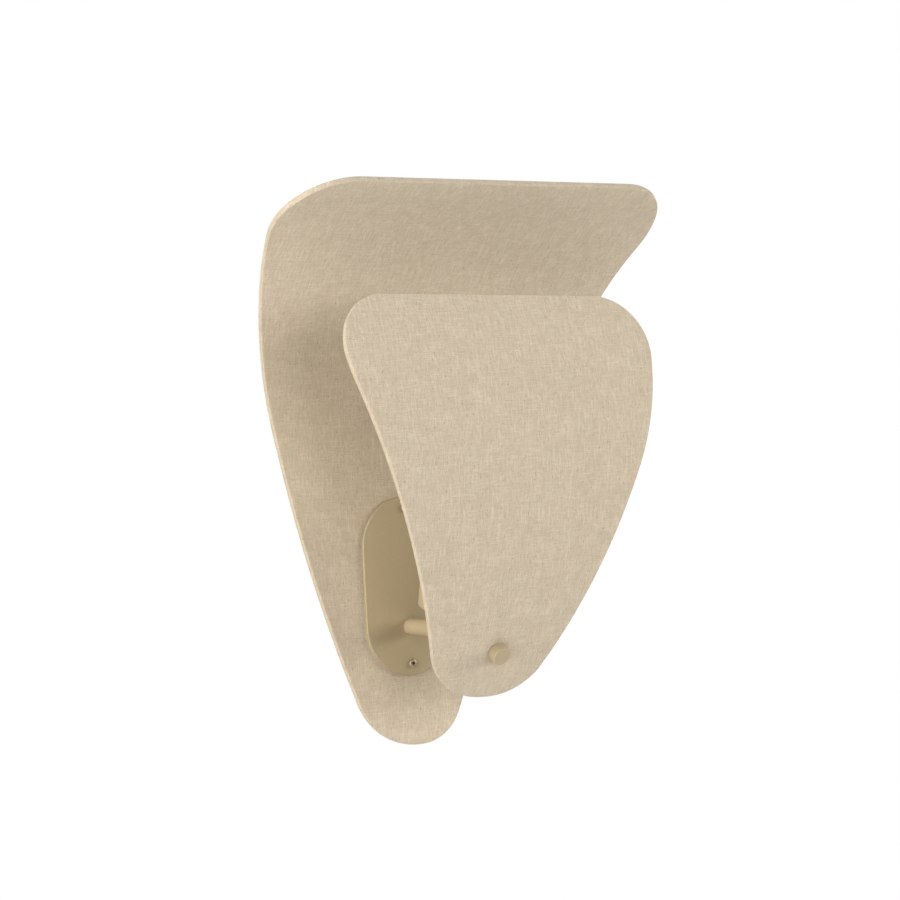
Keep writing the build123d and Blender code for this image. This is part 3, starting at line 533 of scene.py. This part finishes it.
def foldRings(thickness):  # from the cut edge of the hem, round the edge, to the face
    fold, hem, quarter = foldFacts["fold"], foldFacts["hem"], pi / 2
    back = thickness - fold
    whole = fold * quarter * 2 + back - fold - fold
    rings = [(hem, thickness, whole + hem - fold, foldFacts["pleat"]),
             (hem * 0.7, thickness, whole + hem * 0.7 - fold, foldFacts["pleat"]),
             (hem * 0.4, thickness, whole + hem * 0.4 - fold, foldFacts["pleat"] * 0.6),
             (fold * 1.8, thickness, whole + fold * 0.8, 0.0)]
    for k in range(5):
        angle = quarter * k / 4
        rings.append((fold * (1 - sin(angle)), back + fold * cos(angle), whole - fold * angle, 0.0))
    rings.append((0.0, thickness / 2, whole / 2, 0.0))
    for k in range(5):
        angle = quarter * k / 4
        rings.append((fold * (1 - cos(angle)), fold * (1 - sin(angle)), fold * (quarter - angle) - fold, 0.0))
    rings.append((fold * 2.6, 0.0, -fold * 2.6, 0.0))
    return rings


for shell in (rearShell, frontShell):
    rings = foldRings(shell["thickness"])
    cover = layCloth(shell["piece"] + "Cover", shell, rings, -1, foldFacts["cloth"])
    cover.data.materials.append(finishes["linen"])
    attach(cover, shell["body"])
    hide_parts(shell["node"] + "_cloth")
    size, area = cutSize(shell, rings[0][2])
    inner, back = foldFacts["lining"], foldFacts["backCloth"]
    turned = [(inner + inset, shell["thickness"] - sunk, run - inner, 0.0)
              for inset, sunk, run in ((0.0, back, back), (0.0002, 0.0002, 0.0002),
                                       (0.0007, 0.0, -0.0004), (0.0030, 0.0, -0.0030))]
    lining = layCloth(shell["piece"] + "Lining", shell, turned, 1, back)
    lining.data.materials.append(finishes["lining"])
    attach(lining, shell["body"])
    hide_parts(shell["node"] + "_lining")
    size, area = cutSize(shell, -inner)
    print("shell clothed:", shell["piece"], len(cover.data.polygons), len(lining.data.polygons))


# Plate screws: pan heads with a cross recess, threaded shanks

plateScrew = {"out": 0.029, "spacing": 0.0778, "head": 0.0040, "height": 0.0024, "dome": 0.0011,
              "shank": 0.0020, "length": 0.0250, "pitch": 0.0007, "threadDepth": 0.00035,
              "slotWidth": 0.0013, "slotLength": 0.0050, "slotDepth": 0.0016, "clear": 0.0002, "turn": 21.0,
              "foot": 0.00015, "lap": 0.00002, "smooth": 32}


def pickFaces(piece, wanted):  # edit mode on, faces that pass the test selected
    chosen(piece)
    bpy.ops.object.mode_set(mode="EDIT")
    bpy.ops.mesh.select_mode(type="FACE")
    bpy.ops.mesh.select_all(action="DESELECT")
    bpy.ops.object.mode_set(mode="OBJECT")
    for face in piece.data.polygons:
        face.select = wanted(face)
    bpy.ops.object.mode_set(mode="EDIT")


def pickEdges(piece, wanted):  # edit mode on, edges whose two ends pass the test selected
    chosen(piece)
    bpy.ops.object.mode_set(mode="EDIT")
    bpy.ops.mesh.select_mode(type="EDGE")
    bpy.ops.mesh.select_all(action="DESELECT")
    bpy.ops.object.mode_set(mode="OBJECT")
    points = piece.data.vertices
    for edge in piece.data.edges:
        edge.select = wanted(points[edge.vertices[0]].co, points[edge.vertices[1]].co)
    bpy.ops.object.mode_set(mode="EDIT")


def leaveEdit():
    bpy.ops.object.mode_set(mode="OBJECT")
    return bpy.context.object


def settle(piece, place):  # move a finished piece to its place, with the place kept in its mesh
    chosen(piece)
    piece.matrix_world = place
    bpy.ops.object.transform_apply(location=True, rotation=True, scale=True)
    return piece


def screwCutter(facts):  # two crossed blades and a cone, as a cross-recess punch has
    blades = []
    depth = facts["slotDepth"] + 2 * facts["clear"]
    middleHeight = facts["height"] - facts["slotDepth"] / 2 + facts["clear"]
    for turn in (0, pi / 2):
        bpy.ops.object.select_all(action="DESELECT")
        bpy.ops.mesh.primitive_cube_add(size=1, location=(0, 0, middleHeight))
        blade = chosen(bpy.context.object)
        blade.scale = (facts["slotLength"], facts["slotWidth"], depth)
        bpy.ops.object.transform_apply(location=True, rotation=True, scale=True)
        pickFaces(blade, lambda face: face.normal.z < -0.5)
        bpy.ops.transform.resize(value=(0.35, 0.55, 1.0))
        leaveEdit()
        blades.append(settle(blade, Matrix.Rotation(turn, 4, "Z")))
    bpy.ops.object.select_all(action="DESELECT")
    bpy.ops.mesh.primitive_cone_add(vertices=32, depth=depth, location=(0, 0, middleHeight),
                                    radius1=facts["slotWidth"] * 0.5, radius2=facts["slotWidth"] * 1.25)
    blades.append(chosen(bpy.context.object))
    bpy.ops.object.transform_apply(location=True, rotation=True, scale=True)
    return blades


def makeScrew(facts):
    bpy.ops.object.select_all(action="DESELECT")
    bpy.ops.mesh.primitive_cylinder_add(vertices=64, radius=facts["head"], depth=facts["height"],
                                        location=(0, 0, facts["height"] / 2))
    screw = chosen(bpy.context.object)
    bpy.ops.object.transform_apply(location=True, rotation=True, scale=True)
    pickEdges(screw, lambda a, b: min(a.z, b.z) > facts["height"] * 0.9)
    bpy.ops.mesh.bevel(offset=facts["dome"], segments=6, profile=0.5)
    leaveEdit()
    pickEdges(screw, lambda a, b: max(a.z, b.z) < facts["height"] * 0.1)
    bpy.ops.mesh.bevel(offset=facts["foot"], segments=2)
    leaveEdit()
    for blade in screwCutter(facts):
        addModifier(screw, "BOOLEAN", operation="DIFFERENCE", solver="EXACT", object=blade)
        bpy.data.objects.remove(blade)
    # shank: one turn of thread, wound down the rod
    turns = int(facts["length"] / facts["pitch"]) - 1
    bpy.ops.object.select_all(action="DESELECT")
    bpy.ops.mesh.primitive_plane_add(size=1, location=(0, 0, 0))
    shank = chosen(bpy.context.object)
    shank.data.clear_geometry()
    inner = facts["shank"] - facts["threadDepth"]
    shape = [(inner, 0.0), (inner, 0.22), (facts["shank"], 0.55), (facts["shank"], 0.67), (inner, 1.0)]
    points = [(radius, 0, -part * facts["pitch"]) for radius, part in shape]
    shank.data.from_pydata(points, [(k, k + 1) for k in range(len(shape) - 1)], [])
    addModifier(shank, "SCREW", angle=2 * pi, screw_offset=-facts["pitch"], iterations=turns, steps=18,
                render_steps=18, use_merge_vertices=True, merge_threshold=facts["lap"],
                use_normal_calculate=True)
    chosen(shank)
    bpy.ops.object.mode_set(mode="EDIT")
    bpy.ops.mesh.select_all(action="SELECT")
    bpy.ops.mesh.remove_doubles(threshold=0.000005)
    bpy.ops.mesh.normals_make_consistent(inside=False)
    leaveEdit()
    # core that closes the rod from the head to the pointed end
    bpy.ops.object.select_all(action="DESELECT")
    bpy.ops.mesh.primitive_cylinder_add(vertices=36, radius=inner + facts["lap"], depth=facts["length"],
                                        location=(0, 0, facts["clear"] - facts["length"] / 2))
    core = chosen(bpy.context.object)
    bpy.ops.object.transform_apply(location=True, rotation=True, scale=True)
    pickFaces(core, lambda face: face.normal.z < -0.5)
    bpy.ops.mesh.inset(thickness=0.0004)
    bpy.ops.transform.translate(value=(0, 0, -0.0002))
    leaveEdit()
    return joined([screw, shank, core], "plateScrews")


def joined(pieces, name):  # one object from several
    bpy.ops.object.select_all(action="DESELECT")
    for piece in pieces:
        piece.select_set(True)
    bpy.context.view_layer.objects.active = pieces[0]
    bpy.ops.object.join()
    whole = chosen(bpy.context.object)
    whole.name = name
    bpy.ops.object.shade_smooth_by_angle(angle=radians(plateScrew["smooth"]))
    return whole


screwOne = makeScrew(plateScrew)
facing = Matrix.Rotation(pi / 2, 4, "X")  # +Z of the screw turns to the room, -Y
screws = []
for side in (-1, 1):
    copy = screwOne.copy()
    copy.data = screwOne.data.copy()
    bpy.context.scene.collection.objects.link(copy)
    place = Matrix.Translation((0, -plateScrew["out"], side * plateScrew["spacing"]))
    turned = Matrix.Rotation(radians(plateScrew["turn"] * (2 - side)), 4, "Z")  # the two stop at other angles
    screws.append(settle(copy, place @ facing @ turned))
bpy.data.objects.remove(screwOne)
plateScrews = joined(screws, "plateScrews")
plateScrews.data.materials.clear()
plateScrews.data.materials.append(finishes["screw_brass"])
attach(plateScrews, "root")
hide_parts("plate_screws")
print("screws done:", len(plateScrews.data.polygons))


# Bulb cap with its rolled round thread

holderPlace = {"out": 0.0737, "height": -0.0408, "tilt": 15.0}
holderFrame = (Matrix.Translation((0, -holderPlace["out"], holderPlace["height"]))
               @ Matrix.Rotation(radians(holderPlace["tilt"]), 4, "X"))
capFacts = {"start": 0.0334, "end": 0.0574, "crest": 0.0131, "root": 0.01248, "pitch": 0.0036, "turns": 5,
            "neck": 0.01250, "floor": 0.0099, "taper": 0.0032, "wall": 0.0002,
            "collar": 0.0016, "step": 0.0004, "rim": 0.0001, "eye": 0.0045, "smooth": 50}


def makeCap(facts):
    bpy.ops.object.select_all(action="DESELECT")
    bpy.ops.mesh.primitive_plane_add(size=1, location=(0, 0, 0))
    cap = chosen(bpy.context.object)
    cap.data.clear_geometry()
    middle, swing = (facts["crest"] + facts["root"]) / 2, (facts["crest"] - facts["root"]) / 2
    wave = [(middle - swing * cos(2 * pi * k / 12), facts["pitch"] * k / 12) for k in range(13)]
    cap.data.from_pydata([(r, 0, z) for r, z in wave], [(k, k + 1) for k in range(12)], [])
    addModifier(cap, "SCREW", angle=2 * pi, screw_offset=facts["pitch"], iterations=facts["turns"], steps=56,
                render_steps=56, use_merge_vertices=True, merge_threshold=0.00002, use_normal_calculate=True)
    settle(cap, Matrix.Translation((0, 0, facts["start"] + facts["taper"] * 0.5)))
    # trim both ends square, then close them onto the collar and the tapered floor
    low, high = facts["start"] + facts["taper"], facts["end"] - facts["collar"]
    step = facts["step"]
    for height, normal in ((low, (0, 0, -1)), (high, (0, 0, 1))):
        chosen(cap)
        bpy.ops.object.mode_set(mode="EDIT")
        bpy.ops.mesh.select_all(action="SELECT")
        bpy.ops.mesh.remove_doubles(threshold=0.00001)
        bpy.ops.mesh.select_all(action="SELECT")
        bpy.ops.mesh.bisect(plane_co=(0, 0, height), plane_no=normal, clear_outer=True, use_fill=False)
        leaveEdit()
    pickEdges(cap, lambda a, b: min(a.z, b.z) > high - 0.00001)
    for radius, height in ((facts["neck"] + step, high + step), (facts["neck"], facts["end"])):
        bpy.ops.mesh.extrude_region_move(TRANSFORM_OT_translate={"value": (0, 0, step)})
        ringTo(cap, radius, height)
    leaveEdit()
    pickEdges(cap, lambda a, b: max(a.z, b.z) < low + 0.00001)
    for radius, height in ((facts["crest"] - step, low - step),
                           (facts["floor"], facts["start"] + facts["rim"]), (facts["eye"], facts["start"])):
        bpy.ops.mesh.extrude_region_move(TRANSFORM_OT_translate={"value": (0, 0, -step)})
        ringTo(cap, radius, height)
    leaveEdit()
    chosen(cap)
    bpy.ops.object.mode_set(mode="EDIT")
    bpy.ops.mesh.select_all(action="SELECT")
    bpy.ops.mesh.remove_doubles(threshold=0.000005)
    bpy.ops.mesh.normals_make_consistent(inside=False)
    leaveEdit()
    addModifier(cap, "SOLIDIFY", thickness=facts["wall"], offset=-1.0)
    bpy.ops.object.shade_smooth_by_angle(angle=radians(facts["smooth"]))
    cap.name = "bulbCap"
    return settle(cap, holderFrame)


def ringTo(piece, radius, height):  # the selected loop becomes a true circle at one height
    bpy.ops.object.mode_set(mode="OBJECT")
    for point in piece.data.vertices:
        if point.select:
            angle = atan2(point.co.y, point.co.x)
            point.co = (radius * cos(angle), radius * sin(angle), height)
    bpy.ops.object.mode_set(mode="EDIT")


bulbCap = makeCap(capFacts)
bulbCap.data.materials.clear()
bulbCap.data.materials.append(finishes["cap_metal"])
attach(bulbCap, "bulb")
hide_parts("bulb_cap")
print("bulb cap done:", len(bulbCap.data.polygons))


# Camera, light and floor

cameraFacts = {"turn": -35.0, "rise": 0.8, "roll": 3.0, "distance": 2.4, "lens": 96.0, "sensor": 36.0,
               "right": 0.0417, "up": 0.1356, "aim": (0, -0.029, 0)}
turn, rise, roll = (radians(cameraFacts[k]) for k in ("turn", "rise", "roll"))
backward = Vector((sin(turn) * cos(rise), -cos(turn) * cos(rise), sin(rise)))
levelWay = Vector((cos(turn), sin(turn), 0))
upright = backward.cross(levelWay)
sideways = levelWay * cos(roll) - upright * sin(roll)
upward = levelWay * sin(roll) + upright * cos(roll)
eye = (Vector(cameraFacts["aim"]) + sideways * cameraFacts["right"] + upward * cameraFacts["up"]
       + backward * cameraFacts["distance"])
camera = bpy.data.objects.new("camera", bpy.data.cameras.new("camera"))
camera.data.lens = cameraFacts["lens"]
camera.data.sensor_width = cameraFacts["sensor"]
camera.matrix_world = Matrix((sideways, upward, backward)).transposed().to_4x4()
camera.matrix_world.translation = eye
bpy.context.scene.collection.objects.link(camera)
bpy.context.scene.camera = camera

stageFacts = {"floor": -1.3, "reach": 1.25, "paper": tint(0.92, 0.92, 0.92), "shade": tint(0.89, 0.89, 0.89),
              "backdrop": 1.0, "glow": 0.03, "lightAim": (0.0, -0.1, 0.12)}
bpy.ops.object.select_all(action="DESELECT")
bpy.ops.mesh.primitive_plane_add(size=2 * stageFacts["reach"], location=(0, 0, stageFacts["floor"]))
floor = bpy.context.object
floor.name = "floor"
bpy.ops.object.transform_apply(location=True, rotation=True, scale=True)
paper = Finish("floorPaper", roughness=0.85)
paperTone = paper.steps(paper.noise(paper.place(), 3.0), 0.3, 0.7)
paper.set(Base_Color=paper.blend(paperTone * 0.2, stageFacts["paper"], stageFacts["shade"]))
floor.data.materials.append(paper.material)

# The room behind is plain white, and sends only a little light of its own
world = bpy.data.worlds.new("studio")
world.use_nodes = True
room = world.node_tree.nodes["Background"].inputs
room["Color"].default_value = tint(1.0, 1.0, 1.0)
seen = world.node_tree.nodes.new("ShaderNodeLightPath")
power = world.node_tree.nodes.new("ShaderNodeMapRange")
power.inputs["To Min"].default_value = stageFacts["glow"]
power.inputs["To Max"].default_value = stageFacts["backdrop"]
world.node_tree.links.new(seen.outputs["Is Camera Ray"], power.inputs["Value"])
world.node_tree.links.new(power.outputs["Result"], room["Strength"])
bpy.context.scene.world = world
bpy.context.scene.view_settings.view_transform = "Standard"

# name, width, power, colour and place; the back light only reaches the side towards the wall
softBoxes = [("keyLight", 0.6, 15.5, (1.00, 0.98, 0.98), (-0.72, -2.50, 0.34)),
             ("frontLight", 0.8, 19.0, (0.90, 0.95, 1.00), (0.80, -2.45, 0.40)),
             ("rightLight", 1.1, 47.0, (1.00, 0.95, 0.80), (2.40, -1.10, 0.50)),
             ("leftLight", 1.6, 54.0, (1.00, 0.968, 0.885), (-2.30, -0.50, 0.30)),
             ("highLeftLight", 1.2, 29.0, (1.00, 0.97, 0.97), (-1.78, -0.48, 2.09)),
             ("lowLeftLight", 1.2, 10.0, (1.00, 0.96, 0.86), (-2.30, -0.84, -0.64)),
             ("lowFrontLight", 1.2, 8.5, (1.00, 0.97, 0.92), (-0.80, -1.80, -0.95)),
             ("topLight", 1.6, 6.0, (1.00, 0.98, 0.98), (0.0, -0.70, 2.40)),
             ("backLight", 1.8, 85.0, (1.00, 0.98, 0.95), (0.20, 2.70, 0.50))]


def softLight(name, width, power, colour, place):  # a square of light that shines on the lamp, unseen itself
    light = bpy.data.lights.new(name, "AREA")
    light.size = width
    light.energy = power
    light.color = colour
    box = bpy.data.objects.new(name, light)
    box.location = place
    box.visible_camera = False
    box.rotation_euler = (Vector(place) - Vector(stageFacts["lightAim"])).to_track_quat("Z", "Y").to_euler()
    bpy.context.scene.collection.objects.link(box)


for box in softBoxes:
    softLight(*box)
print("camera and light done")
